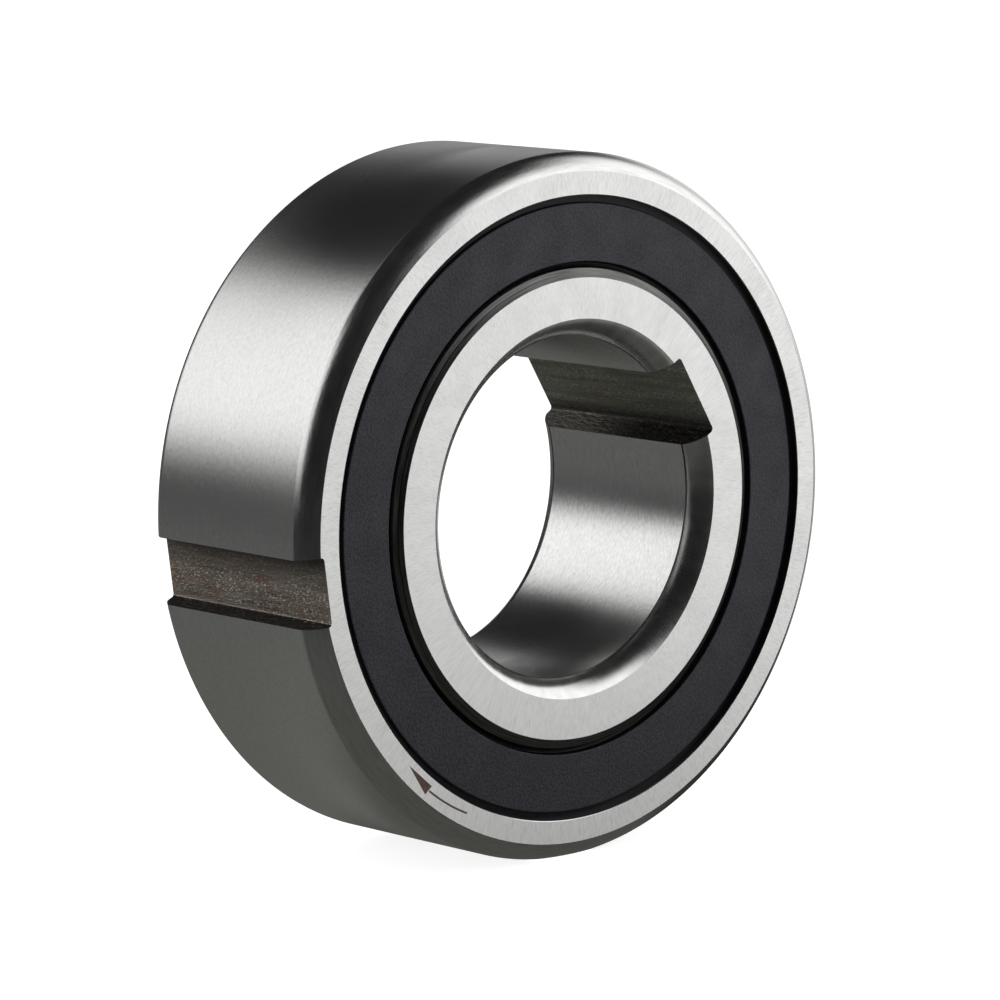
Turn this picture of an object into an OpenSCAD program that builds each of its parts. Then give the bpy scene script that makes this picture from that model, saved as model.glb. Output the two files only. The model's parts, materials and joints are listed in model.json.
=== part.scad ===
// One-way sprag clutch built into a sealed ball bearing, keyed in the bore and on the rim.
// Every piece is drawn about the z axis with z towards the marked front face, then laid over
// so that the clutch axis runs along y, the front face looks to -y and the clutch stands on its rim.

/* [Rings] */
// Outside diameter of the outer ring
outer_d = 62; // [59:0.5:70]
// Bore of the inner ring
bore_d = 30; // [26:0.5:33]
// Width over the flat faces of both rings
ring_w = 21; // [20.5:0.5:26]
// Radial space between the hardened tracks of the two rings
track_gap = 5.5; // [5:0.1:6]
// How far the balls' and sprags' pitch circle lies outside the middle of the ring section
pitch_shift = 0.75; // [0.5:0.05:1]
// Radius of the turned corner on the rim
rim_corner_r = 3; // [2:0.1:4]
// How far that corner reaches inwards across the face
rim_corner_reach = 1.6; // [1.2:0.1:2]
// How far that corner reaches along the rim
rim_corner_depth = 1.7; // [1.4:0.1:2.2]
// Radius of the turned corner at each end of the bore
bore_corner_r = 3.2; // [2:0.1:4]
// How far that corner reaches outwards across the face
bore_corner_reach = 1.63; // [0.9:0.01:1.7]
// How far that corner reaches into the bore
bore_corner_depth = 1.85; // [1.2:0.05:2.2]
// Width of the narrow bevel where each of these corners meets its ground cylinder
edge_break_w = 0.2; // [0.1:0.02:0.3]
// Radial height of the bevel between the inner ring's face and its track
land_bevel = 0.8; // [0.4:0.05:1]
// Axial depth of that bevel
land_bevel_depth = 0.5; // [0.3:0.05:0.6]

/* [Keyways] */
// Width of the keyway in the bore
bore_key_w = 8; // [5:0.5:10]
// Depth of the bore keyway below the bore wall
bore_key_depth = 2; // [1:0.1:2.4]
// Angle of the bore keyway, seen from the front, from the right-hand side upwards
bore_key_angle = 31.75; // [0:0.25:359]
// Width of the keyway on the rim
rim_key_w = 6; // [4:0.5:10]
// Depth of the rim keyway below the rim
rim_key_depth = 2.1; // [1:0.1:2.4]
// Angle of the rim keyway
rim_key_angle = 188.25; // [0:0.25:359]
// Radius in the bottom corners of both keyways
key_corner_r = 0.35; // [0.2:0.05:0.6]

/* [Seals] */
// How far the seal's flat face lies below the ring faces
seal_recess = 0.31; // [0.2:0.01:0.5]
// Radial width of the open channel between the seal's flat face and the outer ring
seal_rim_channel = 0.73; // [0.5:0.01:0.9]
// Radial width of the open channel between the seal's flat face and the inner ring
seal_lip_channel = 0.57; // [0.4:0.01:0.8]
// How far the seal seat stands outside the outer track
seal_seat_step = 0.85; // [0.7:0.05:1]
// Depth of the seat bore from the face to the snap groove
seal_seat_depth = 0.6; // [0.55:0.05:0.75]
// Width of the snap groove
snap_groove_w = 1.3; // [1.1:0.05:1.4]
// Depth of the snap groove beyond the seat
snap_groove_h = 0.7; // [0.4:0.05:0.8]
// Gap that lets the seal be snapped in
seal_fit_gap = 0.03; // [0.01:0.01:0.06]
// Gap between the sealing lip and the inner ring
lip_gap = 0.03; // [0.01:0.01:0.08]
// Thickness of the steel washer in the seal
core_t = 0.4; // [0.3:0.05:0.5]
// Thickness of the rubber over the washer, at the floor of the channel round the seal
seal_skin = 0.2; // [0.15:0.05:0.3]

/* [Ball row] */
// Diameter of the balls
ball_d = 7.144; // [6.8:0.001:7.3]
// Number of balls
ball_count = 12; // [12]
// Axial distance from mid-width back to the middle of the ball row
ball_row_offset = 3.9; // [3.8:0.05:4.1]
// Ratio of the race groove radius to the ball diameter
groove_fit = 0.52; // [0.515:0.005:0.54]
// Running gap between a ball and the bottom of its race
ball_gap = 0.02; // [0.01:0.005:0.05]
// Gap between a ball and its cage pocket
pocket_gap = 0.1; // [0.06:0.01:0.15]
// Thickness of the ball cage's steel strip
ball_cage_t = 0.5; // [0.4:0.05:0.55]
// Radial width of the ball cage's steel strip
ball_cage_w = 2.8; // [2.2:0.1:3.2]
// Diameter of a rivet shank
rivet_d = 1; // [0.8:0.1:1.2]
// Diameter of a rivet head
rivet_head_d = 1.8; // [1.6:0.1:2.2]
// Height of a rivet head
rivet_head_h = 0.4; // [0.3:0.05:0.5]

/* [Sprag row] */
// Number of sprags
sprag_count = 18; // [18]
// Axial length of a sprag
sprag_l = 5.5; // [5:0.1:5.6]
// Axial distance from mid-width forward to the middle of the sprag row
sprag_row_offset = 4.2; // [4.1:0.05:4.3]
// Radius of the cam that meets the outer track
outer_cam_r = 3.2; // [3:0.1:3.4]
// Radius of the cam that meets the inner track
inner_cam_r = 3; // [2.9:0.1:3.2]
// Sideways offset of each cam's centre from the sprag's own radius
cam_offset = 0.25; // [0.22:0.01:0.28]
// Gap between each cam and its track while the clutch overruns
sprag_gap = 0.025; // [0.02:0.005:0.04]
// Width of a sprag at its waist
sprag_waist = 2.7; // [2.4:0.1:3]
// Radius of the hollow flanks of a sprag
sprag_flank_r = 4; // [3.6:0.1:4.5]
// Radius to which the corners of a sprag are trimmed about its own centre
sprag_trim_r = 2.86; // [2.8:0.01:2.95]
// Thickness of the sprag cage's sheet
sprag_cage_t = 0.5; // [0.4:0.05:0.6]
// Radial gap between the inner track and the sprag cage's drum
drum_gap = 1.3; // [1.2:0.05:1.4]
// Radial gap between the sprag cage's flanges and the outer track
flange_gap = 0.55; // [0.4:0.05:0.8]
// Play of a sprag in its window, at each end
sprag_side_gap = 0.05; // [0.03:0.01:0.1]
// Strip of the cage's drum left between a window and the flange
window_ledge = 0.15; // [0.1:0.05:0.2]
// Width of a window in the sprag cage
window_w = 4.3; // [4.2:0.1:4.6]

/* [Garter spring] */
// Outside diameter of the spring's coil
spring_coil_d = 1.3; // [1.1:0.1:1.4]
// Radial gap between the spring and the outer track
spring_track_gap = 0.9; // [0.8:0.05:1]
// Width of the slot in each sprag that the spring lies in
spring_slot_w = 1.6; // [1.5:0.1:1.9]
// Gap under the spring in that slot, so a sprag can tilt
spring_slot_gap = 0.3; // [0.25:0.05:0.35]

/* [Hidden] */
$fn = 96;
eps = 0.01;
rim_r = outer_d / 2;
bore_r = bore_d / 2;
face_z = ring_w / 2;
key_overrun = 2;
edge_break_lean = 10;
// The balls and the sprags share one pitch circle, halfway between the two tracks.
pitch_r = (rim_r + bore_r) / 2 + pitch_shift;
inner_track_r = pitch_r - track_gap / 2;
outer_track_r = pitch_r + track_gap / 2;

seat_r = outer_track_r + seal_seat_step;
snap_r = seat_r + snap_groove_h;
shoulder_r = (outer_track_r + seat_r) / 2;
shoulder_w = 0.5;
land_r = inner_track_r - land_bevel;
land_step = 0.08;

seal_flat_out_r = seat_r - seal_rim_channel;
seal_flat_in_r = inner_track_r + seal_lip_channel;
lip_r = inner_track_r + lip_gap;
lip_w = 0.2;
bead_r = snap_r - seal_fit_gap;
bead_chamfer = 0.12;
snap_top_z = face_z - seal_seat_depth;
snap_low_z = snap_top_z - snap_groove_w;
seal_face_z = face_z - seal_recess;
channel_floor_z = snap_top_z - seal_fit_gap;
core_top_z = channel_floor_z - seal_skin;
core_low_z = core_top_z - core_t;
core_lip_inset = 0.35;
core_rim_inset = 0.2;
core_in_r = seal_flat_in_r + core_lip_inset;
core_out_r = seat_r - core_rim_inset;
core_flange_in_r = core_out_r - core_t;
core_flange_low_z = snap_low_z + core_t / 2;
flange_skin = 0.2;
flat_side_lean = 0.1;
seal_corner_r = 0.08;
lip_low_z = core_low_z - 0.05;
lip_neck = 0.12;
lip_root_reach = 0.1;
lip_root_drop = 0.25;

ball_r = ball_d / 2;
ball_step = 360 / ball_count;
groove_r = groove_fit * ball_d;
pocket_r = ball_r + pocket_gap;

sprag_step = 360 / sprag_count;
outer_cam_y = sqrt(pow(outer_track_r - sprag_gap - outer_cam_r, 2) - pow(cam_offset, 2)) - pitch_r;
inner_cam_y = sqrt(pow(inner_track_r + sprag_gap + inner_cam_r, 2) - pow(cam_offset, 2)) - pitch_r;
flank_lean = 0.3;
drum_r = inner_track_r + drum_gap;
flange_r = outer_track_r - flange_gap;
window_l = sprag_l + 2 * sprag_side_gap;
cage_half_l = window_l / 2 + window_ledge + sprag_cage_t;
cage_bend_r = 0.45;
spring_r = outer_track_r - spring_track_gap - spring_coil_d / 2;
slot_floor_r = spring_r - spring_coil_d / 2 - spring_slot_gap;

function two_digits(n) = n < 10 ? str("0", n) : str(n);
BALLS = [for (i = [1 : ball_count]) str("ball_", two_digits(i))];
SPRAGS = [for (i = [1 : sprag_count]) str("sprag_", two_digits(i))];

ground_steel = [0.78, 0.78, 0.76];
polished_steel = [0.86, 0.87, 0.88];
pressed_steel = [0.62, 0.63, 0.64];
sprag_steel = [0.55, 0.56, 0.58];
zinc_steel = [0.70, 0.68, 0.58];
seal_rubber = [0.17, 0.17, 0.18];
spring_steel = [0.66, 0.64, 0.60];

// Lays the z axis of a drawing over onto the clutch axis.
module lay_over() {
    rotate([90, 0, 0])
        children();
}

// A square in the section plane, from one radius to another and from one height to another.
module block(r_in, r_out, z_low, z_high) {
    translate([r_in, z_low])
        square([r_out - r_in, z_high - z_low]);
}

// What a turned corner takes away from a ring. The corner is one arc that would start on the
// cylinder at wall_r, depth below the face, and meets the face after reach. A narrow bevel
// breaks the edge that it leaves there. side is 1 where the cylinder lies outside, -1 for a bore.
module ring_corner_waste(wall_r, radius, reach, depth, side) {
    sink = sqrt(pow(radius / norm([reach, depth]), 2) - 0.25);
    centre = [wall_r - side * (reach / 2 + sink * depth), face_z - depth / 2 - sink * reach];
    low_r = side > 0 ? centre[0] : wall_r - 1;
    high_r = side > 0 ? wall_r + 1 : centre[0];
    edge_z = face_z - depth - edge_break_w / 2;
    difference() {
        block(low_r, high_r, centre[1], face_z + 1);
        translate(centre)
            circle(r = radius);
    }
    translate([wall_r, edge_z])
        rotate([0, 0, side * edge_break_lean])
            translate([side > 0 ? 0 : -1, -1])
                square([1, 1 + depth]);
}

// What the bend between the sprag cage's drum and a flange takes away.
module bend_waste(wall_r, face_at, radius) {
    difference() {
        block(wall_r - 1, wall_r + radius, face_at - radius, face_at + 1);
        translate([wall_r + radius, face_at - radius])
            circle(r = radius);
    }
}

module both_ends() {
    children();
    mirror([0, 1])
        children();
}

// A keyway cutter along the whole width, with rounded bottom corners, pointing along x.
module key_cutter(width, r_near, r_far, rounded_far) {
    k = key_corner_r;
    corner_x = rounded_far ? r_far - k : r_near + k;
    flat_low = rounded_far ? r_near : corner_x;
    flat_high = rounded_far ? corner_x : r_far;
    translate([0, 0, -face_z - 1])
        linear_extrude(height = ring_w + 2)
            union() {
                translate([flat_low, -width / 2])
                    square([flat_high - flat_low, width]);
                translate([r_near, -width / 2 + k])
                    square([r_far - r_near, width - 2 * k]);
                for (s = [-1, 1])
                    translate([corner_x, s * (width / 2 - k)])
                        circle(r = k);
            }
}

module outer_ring_section() {
    difference() {
        block(outer_track_r, rim_r, -face_z, face_z);
        both_ends()
            ring_corner_waste(rim_r, rim_corner_r, rim_corner_reach, rim_corner_depth, 1);
        both_ends()
            block(outer_track_r - 1, seat_r, snap_low_z + snap_groove_w / 2, face_z + 1);
        both_ends()
            polygon([
                [outer_track_r - 1, snap_low_z],
                [snap_r - bead_chamfer, snap_low_z],
                [snap_r, snap_low_z + bead_chamfer],
                [snap_r, snap_top_z - bead_chamfer],
                [snap_r - bead_chamfer, snap_top_z],
                [outer_track_r - 1, snap_top_z]
            ]);
        both_ends()
            polygon([
                [outer_track_r - 1, snap_low_z + eps],
                [shoulder_r, snap_low_z + eps],
                [shoulder_r, snap_low_z - shoulder_w],
                [outer_track_r, snap_low_z - 2 * shoulder_w],
                [outer_track_r - 1, snap_low_z - 2 * shoulder_w]
            ]);
        translate([pitch_r + ball_r + ball_gap - groove_r, -ball_row_offset])
            circle(r = groove_r);
    }
}

module outer_ring() {
    color(ground_steel)
        lay_over()
            difference() {
                rotate_extrude()
                    outer_ring_section();
                rotate([0, 0, rim_key_angle])
                    key_cutter(rim_key_w, rim_r - rim_key_depth, rim_r + key_overrun, false);
            }
}

module inner_ring_section() {
    difference() {
        block(bore_r, inner_track_r, -face_z, face_z);
        both_ends()
            ring_corner_waste(bore_r, bore_corner_r, bore_corner_reach, bore_corner_depth, -1);
        both_ends()
            polygon([
                [land_r, face_z],
                [land_r, face_z + 1],
                [inner_track_r + 1, face_z + 1],
                [inner_track_r + 1, face_z - land_bevel_depth],
                [inner_track_r, face_z - land_bevel_depth],
                [land_r + land_bevel / 2, face_z - land_bevel_depth / 2 - land_step],
                [land_r + land_bevel / 2, face_z - land_bevel_depth / 2]
            ]);
        translate([pitch_r - ball_r - ball_gap + groove_r, -ball_row_offset])
            circle(r = groove_r);
    }
}

module inner_ring() {
    color(ground_steel)
        lay_over()
            difference() {
                rotate_extrude()
                    inner_ring_section();
                rotate([0, 0, bore_key_angle])
                    key_cutter(bore_key_w, bore_r - key_overrun, bore_r + bore_key_depth, true);
            }
}

// The washer's section: a flat disc with its rim bent inwards, behind the rubber.
module core_section() {
    union() {
        block(core_in_r, core_out_r, core_low_z, core_top_z);
        block(core_flange_in_r, core_out_r, core_flange_low_z, core_top_z);
    }
}

// The rubber's section, with the washer's place cut out of it.
module seal_section() {
    difference() {
        polygon([
            [seal_flat_in_r, seal_face_z],
            [seal_flat_out_r - seal_corner_r, seal_face_z],
            [seal_flat_out_r, seal_face_z - seal_corner_r],
            [seal_flat_out_r + flat_side_lean, channel_floor_z],
            [bead_r - bead_chamfer, channel_floor_z],
            [bead_r, channel_floor_z - bead_chamfer],
            [bead_r, snap_low_z + bead_chamfer],
            [bead_r - bead_chamfer, snap_low_z],
            [core_flange_in_r - flange_skin, snap_low_z],
            [core_flange_in_r - flange_skin, core_low_z],
            [core_in_r, core_low_z],
            [core_in_r - lip_root_reach, core_low_z - lip_root_drop],
            [lip_r, lip_low_z],
            [lip_r, lip_low_z + lip_w],
            [seal_flat_in_r - lip_neck, core_top_z],
            [seal_flat_in_r - seal_corner_r, seal_face_z - seal_corner_r]
        ]);
        core_section();
    }
}

module seal() {
    color(seal_rubber)
        rotate_extrude()
            seal_section();
}

module seal_core() {
    color(zinc_steel)
        rotate_extrude()
            core_section();
}

module front_seal() {
    lay_over()
        seal();
}

module front_seal_core() {
    lay_over()
        seal_core();
}

module rear_seal() {
    lay_over()
        mirror([0, 0, 1])
            seal();
}

module rear_seal_core() {
    lay_over()
        mirror([0, 0, 1])
            seal_core();
}

// Puts a drawing on the pitch circle at step n of the ball row.
module at_ball(n) {
    rotate([0, 0, (n - 1) * ball_step])
        translate([0, pitch_r, -ball_row_offset])
            children();
}

module ball(n) {
    color(polished_steel)
        lay_over()
            at_ball(n)
                sphere(d = ball_d);
}

// The ring-shaped band that the ball cage is pressed from, from its middle plane forwards.
module cage_band(height) {
    difference() {
        cylinder(r = pitch_r + ball_cage_w / 2, h = height);
        translate([0, 0, -1])
            cylinder(r = pitch_r - ball_cage_w / 2, h = height + 2);
    }
}

// One pressed half of the ball cage, from the middle of the ball row forwards.
module cage_half() {
    cup_r = pocket_r + ball_cage_t;
    difference() {
        intersection() {
            cage_band(cup_r + 1);
            union() {
                cylinder(r = outer_track_r, h = ball_cage_t);
                for (n = [1 : ball_count])
                    rotate([0, 0, (n - 1) * ball_step])
                        translate([0, pitch_r, 0])
                            sphere(r = cup_r);
            }
        }
        for (n = [1 : ball_count])
            rotate([0, 0, (n - 1) * ball_step])
                translate([0, pitch_r, 0])
                    sphere(r = pocket_r);
        for (n = [1 : ball_count])
            rotate([0, 0, (n - 0.5) * ball_step])
                translate([0, pitch_r, -1])
                    cylinder(d = rivet_d, h = ball_cage_t + 2);
    }
}

module ball_cage_front() {
    color(pressed_steel)
        lay_over()
            translate([0, 0, -ball_row_offset])
                cage_half();
}

module ball_cage_rear() {
    color(pressed_steel)
        lay_over()
            translate([0, 0, -ball_row_offset])
                mirror([0, 0, 1])
                    cage_half();
}

// A rivet's head, a low dome that sits on the cage strip.
module rivet_head() {
    dome_r = (pow(rivet_head_d / 2, 2) + pow(rivet_head_h, 2)) / (2 * rivet_head_h);
    intersection() {
        cylinder(d = rivet_head_d, h = rivet_head_h);
        translate([0, 0, rivet_head_h - dome_r])
            sphere(r = dome_r);
    }
}

module rivet() {
    cylinder(d = rivet_d, h = 2 * ball_cage_t, center = true);
    for (side = [0, 1])
        mirror([0, 0, side])
            translate([0, 0, ball_cage_t])
                rivet_head();
}

module cage_rivets() {
    color(pressed_steel)
        lay_over()
            for (n = [1 : ball_count])
                at_ball(n + 0.5)
                    rivet();
}

// A sprag's section about its own centre, with y outwards along the clutch radius. The outer
// cam's centre lies to the right and the inner cam's to the left, so the sprag gets taller as
// it tips anticlockwise.
module sprag_section() {
    flank_x = sprag_waist / 2 + sprag_flank_r;
    difference() {
        intersection() {
            translate([cam_offset, outer_cam_y])
                circle(r = outer_cam_r);
            translate([-cam_offset, inner_cam_y])
                circle(r = inner_cam_r);
            circle(r = sprag_trim_r);
        }
        translate([-flank_x, flank_lean])
            circle(r = sprag_flank_r);
        translate([flank_x, -flank_lean])
            circle(r = sprag_flank_r);
    }
}

module sprag_body() {
    difference() {
        translate([0, 0, -sprag_l / 2])
            linear_extrude(height = sprag_l)
                sprag_section();
        translate([0, slot_floor_r - pitch_r + sprag_l / 2, 0])
            cube([sprag_l * 2, sprag_l, spring_slot_w], center = true);
    }
}

module sprag(n) {
    color(sprag_steel)
        lay_over()
            rotate([0, 0, (n - 1) * sprag_step])
                translate([0, pitch_r, sprag_row_offset])
                    sprag_body();
}

// The sprag cage's section: a drum with a flange turned outwards at each end.
module sprag_cage_section() {
    difference() {
        block(drum_r, flange_r, -cage_half_l, cage_half_l);
        block(drum_r + sprag_cage_t, flange_r + 1, sprag_cage_t - cage_half_l, cage_half_l - sprag_cage_t);
        both_ends()
            bend_waste(drum_r, cage_half_l, cage_bend_r);
    }
}

module sprag_cage() {
    color(pressed_steel)
        lay_over()
            translate([0, 0, sprag_row_offset])
                difference() {
                    rotate_extrude()
                        sprag_cage_section();
                    for (n = [1 : sprag_count])
                        rotate([0, 0, (n - 1) * sprag_step])
                            translate([0, drum_r, 0])
                                cube([window_w, 4 * sprag_cage_t, window_l], center = true);
                }
}

module garter_spring() {
    color(spring_steel)
        lay_over()
            translate([0, 0, sprag_row_offset])
                rotate_extrude()
                    translate([spring_r, 0])
                        circle(d = spring_coil_d);
}

outer_ring();
inner_ring();
front_seal();
front_seal_core();
rear_seal();
rear_seal_core();
ball_cage_front();
ball_cage_rear();
cage_rivets();
sprag_cage();
garter_spring();
for (n = [1 : ball_count])
    ball(n);
for (n = [1 : sprag_count])
    sprag(n);
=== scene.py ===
"""Looks of the sprag clutch: steel rings, rubber seals, the parts inside, studio and camera."""
import json
import math

import bmesh
import bpy
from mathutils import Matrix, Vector


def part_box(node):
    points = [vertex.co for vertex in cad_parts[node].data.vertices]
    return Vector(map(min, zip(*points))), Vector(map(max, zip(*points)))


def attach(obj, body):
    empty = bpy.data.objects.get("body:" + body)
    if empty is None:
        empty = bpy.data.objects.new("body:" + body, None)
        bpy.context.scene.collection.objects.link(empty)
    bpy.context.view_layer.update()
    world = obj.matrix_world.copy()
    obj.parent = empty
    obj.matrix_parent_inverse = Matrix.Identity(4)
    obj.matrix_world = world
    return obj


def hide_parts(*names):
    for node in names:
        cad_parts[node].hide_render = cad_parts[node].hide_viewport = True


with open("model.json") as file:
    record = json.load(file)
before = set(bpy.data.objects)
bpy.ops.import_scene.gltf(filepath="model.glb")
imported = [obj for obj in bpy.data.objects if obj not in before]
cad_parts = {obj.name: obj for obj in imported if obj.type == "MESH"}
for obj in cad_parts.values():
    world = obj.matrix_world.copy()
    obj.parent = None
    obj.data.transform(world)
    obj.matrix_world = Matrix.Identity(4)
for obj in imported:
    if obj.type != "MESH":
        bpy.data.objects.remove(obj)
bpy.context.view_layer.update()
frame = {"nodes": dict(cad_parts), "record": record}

MM = 0.001
MICRON = 0.000001
MOUNTS = {m["name"]: m for m in frame["record"]["mounts"]}

# Sizes in millimetres and degrees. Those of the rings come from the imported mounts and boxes.
RIM_R = MOUNTS["rim_seat"]["dims"]["r_mm"]
BORE_R = MOUNTS["bore"]["dims"]["r_mm"]
HALF_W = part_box("outer_ring")[1][1] / MM
RIM_CORNER_R, RIM_CORNER_REACH, RIM_CORNER_DEPTH = 3.0, 1.6, 1.7
BORE_CORNER_R, BORE_CORNER_REACH, BORE_CORNER_DEPTH = 3.2, 1.63, 1.85
CORNER_BEVEL_W, CORNER_BEVEL_LEAN, CORNER_BEVEL_RISE = 0.2, 10, 0.04
INNER_TRACK_R, OUTER_TRACK_R = 21.0, 26.5
PITCH_R = (INNER_TRACK_R + OUTER_TRACK_R) / 2
SEAT_R, SNAP_R, SHOULDER_R = 27.35, 28.05, 26.925
SNAP_TOP, SNAP_LOW, SHOULDER_W, EDGE_BREAK = 0.6, 1.9, 0.5, 0.05
LAND_BEVEL, LAND_BEVEL_DEPTH, LAND_STEP = 0.8, 0.5, 0.08
BALL_D, BALL_GAP, GROOVE_FIT, BALL_ROW = 7.144, 0.02, 0.52, 3.9

# Within these a wall counts as lying at a size, and as running straight outward.
NEAR, FLAT = 0.005, 1e-6

KEYS = {
    "bore_keyway": {"width": 8.0, "depth": 2.0, "corner": 0.35},
    "rim_keyway": {"width": 6.0, "depth": 2.1, "corner": 0.35},
}

# How far a keyway's block reaches past the ring, outward and along the axis, and how steeply a side
# of it has to look down to cut a wall that looks up.
SLOT_OVER, SLOT_PAST, WALL_LEAN = 2, 1, -0.35

# The arrow: radius and angle of the head's corners, then the shaft from its start to its end.
ARROW_HEAD = ((28.05, -134.5), (27.98, -127.65), (28.94, -128.1))
SHAFT_START, SHAFT_END, SHAFT_R, SHAFT_DRIFT, SHAFT_HALF_W = -127.7, -117.5, 28.46, 0.2, 0.09
MARK_DEPTH, MARK_PAST = 0.008, 0.5

# The seal's rubber: the flat with its round edge, the bead in the snap groove, the washer and the lip.
SEAL_RECESS, SEAL_OUT_R, SEAL_IN_R = 0.31, 26.62, 21.57
SNAP_GAP, SEAL_SKIN, SEAL_EDGE_R, SEAL_FOOT, BEAD_BEVEL = 0.03, 0.2, 0.1, 0.1, 0.12
CORE_T, CORE_IN_GAP, CORE_OUT_GAP, FLANGE_SKIN = 0.4, 0.35, 0.2, 0.2
LIP_GAP, LIP_SKIN, LIP_DROP, LIP_LOW, LIP_HIGH, LIP_NECK = 0.03, 0.1, 0.25, 0.05, 0.15, 0.12

# The garter spring, so close-wound that its wire fills COIL_FILL of the room for each turn.
SPRAG_ROW, SPRING_TRACK_GAP, COIL_D, COIL_TURNS, COIL_FILL = -4.2, 0.9, 1.3, 560, 0.97

# Fineness of the meshes, and the angles in degrees from which an edge stays sharp.
STEPS_ROUND, CORNER_STEPS, GROOVE_STEPS, FILLET_STEPS = 512, 12, 24, 6
SEAL_EDGE_STEPS, SHAFT_STEPS, COIL_STEPS, WIRE_SIDES = 4, 16, 12, 6
SHARP_ANGLE, WIRE_SHARP_ANGLE = 8, 60

# The colours of each keyway's floor: a painted shade for the band in the wall's shadow, then dark,
# light and stained. Then the heights at which the floor is in full painted shade and fully lit.
RIM_SLOT_TONES = (
    (0.09, 0.081, 0.069), (0.17, 0.143, 0.12), (0.39, 0.345, 0.3), (0.26, 0.172, 0.132))
BORE_SLOT_TONES = (
    (0.03, 0.03, 0.027), (0.15, 0.15, 0.125), (0.26, 0.26, 0.22), (0.2, 0.19, 0.15))
RIM_SLOT_LIT, BORE_SLOT_LIT = (-1.8, -4.4), (5.5, 6.8)
# Depths along the axis, in millimetres, over which a keyway wall's painted light rises from the front
# towards the back of the slot.
WALL_PAINTED_LIGHT_SPAN = (-2, 4)

# The viewpoint in degrees and millimetres.
CAMERA_AZIMUTH, CAMERA_ELEVATION = -42.528, 8.169
CAMERA_DISTANCE, CAMERA_ASIDE, CAMERA_ABOVE = 442.76, 0.310, -0.278
SENSOR_W, LENS, CLIP = 36, 180.32, (0.01, 20)

# The studio, in metres and degrees.
FLOOR_HALF, FLOOR_GLOW, FLOOR_SHADE, WORLD_FILL = 4.0, 0.86, 0.7, 0.45
SHELL_R, SHELL_LIFT, SHELL_STEPS, SHELL_ROWS = 0.8, 0.0002, 48, 25
GROUND_TONE, OVER_TONE, TONE_HEIGHTS = 0.04, 0.018, (-20, 10)
FLOOR_TINT, TINT_HEIGHTS = (1, 1.005, 0.935), (-32, -14)

# What the steel mirrors. Each panel: azimuth, half width, elevations, soft edge, tone.
PANELS = (
    (-56.5, 40, (9, 48), 7, 1.38),
    (121, 39.5, (0, 49.5), 12, 1.54),
    (140, 26, (-22, 4), 12, 1.05),
    (67, 13, (-24, 28), 9, 0.55),
    (50, 20, (-1, 25), 8, 0.36),
    (-22, 54, (-70, -2), 10, 0.105),
    (-150, 85, (-90, -20), 10, 0.055),
    (165, 25, (35, 60), 14, 0.02),
)

# The lamps: name, place, size and power in watts.
SOFTBOXES = (
    ("key_right_front", (0.42, -0.36, 0.16), (0.5, 0.42), 0.5),
    ("box_back_left", (-0.36, 0.34, 0.22), (0.6, 0.3), 0.45),
)


# Node helpers

def node(tree, kind, **values):
    """A node with the given inputs and settings."""
    made = tree.nodes.new(kind)
    for key, value in values.items():
        if key in made.inputs:
            made.inputs[key].default_value = value
        else:
            setattr(made, key, value)
    return made


def math_node(tree, operation, a, b=None):
    made = node(tree, "ShaderNodeMath", operation=operation)
    for socket, value in zip(made.inputs, (a, b)):
        if value is None:
            continue
        if isinstance(value, (int, float)):
            socket.default_value = value
        else:
            tree.links.new(value, socket)
    return made.outputs[0]


def times(tree, a, b):
    return math_node(tree, "MULTIPLY", a, b)


def ramp(tree, value, given, wanted=(0, 1), kind="LINEAR"):
    """Takes a value from one range to another."""
    made = node(tree, "ShaderNodeMapRange", interpolation_type=kind)
    for key, limit in zip(("From Min", "From Max", "To Min", "To Max"), (*given, *wanted)):
        made.inputs[key].default_value = limit
    tree.links.new(value, made.inputs["Value"])
    return made.outputs[0]


def split_place(tree, place):
    split = tree.nodes.new("ShaderNodeSeparateXYZ")
    tree.links.new(place, split.inputs[0])
    return split.outputs


def joined_place(tree, parts):
    join = tree.nodes.new("ShaderNodeCombineXYZ")
    for part, socket in zip(parts, join.inputs):
        tree.links.new(part, socket)
    return join.outputs[0]


def colour_mix(tree, factor, dark, light):
    """A mix of two colours, each given as three numbers or as a socket."""
    made = node(tree, "ShaderNodeMix", data_type="RGBA")
    tree.links.new(factor, made.inputs[0])
    for socket, value in ((made.inputs[6], dark), (made.inputs[7], light)):
        if isinstance(value, tuple):
            socket.default_value = (*value, 1)
        else:
            tree.links.new(value, socket)
    return made.outputs[2]


def bare_material(name):
    """A material with nothing in it but its output: the material, its tree and the output."""
    material = bpy.data.materials.new(name)
    material.use_nodes = True
    tree = material.node_tree
    tree.nodes.clear()
    return material, tree, tree.nodes.new("ShaderNodeOutputMaterial")


def round_axis_group():
    """Places on a turned part: a seamless direction round the axis, then radius and depth as one."""
    tree = bpy.data.node_groups.new("round_axis", "ShaderNodeTree")
    for name in ("Turns", "Radial", "Axial"):
        tree.interface.new_socket(name, in_out="INPUT", socket_type="NodeSocketFloat")
    tree.interface.new_socket("Place", in_out="OUTPUT", socket_type="NodeSocketVector")
    given = tree.nodes.new("NodeGroupInput")
    out = tree.nodes.new("NodeGroupOutput")
    x, y, z = split_place(tree, tree.nodes.new("ShaderNodeTexCoord").outputs["Object"])
    square = math_node(tree, "ADD", times(tree, x, x), times(tree, z, z))
    radius = math_node(tree, "SQRT", square)
    across, upward = (times(tree, math_node(tree, "DIVIDE", part, radius), given.outputs["Turns"])
                      for part in (x, z))
    outward = times(tree, radius, given.outputs["Radial"])
    along = times(tree, y, given.outputs["Axial"])
    place = joined_place(tree, (across, upward, math_node(tree, "ADD", outward, along)))
    tree.links.new(place, out.inputs["Place"])
    return tree


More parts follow.
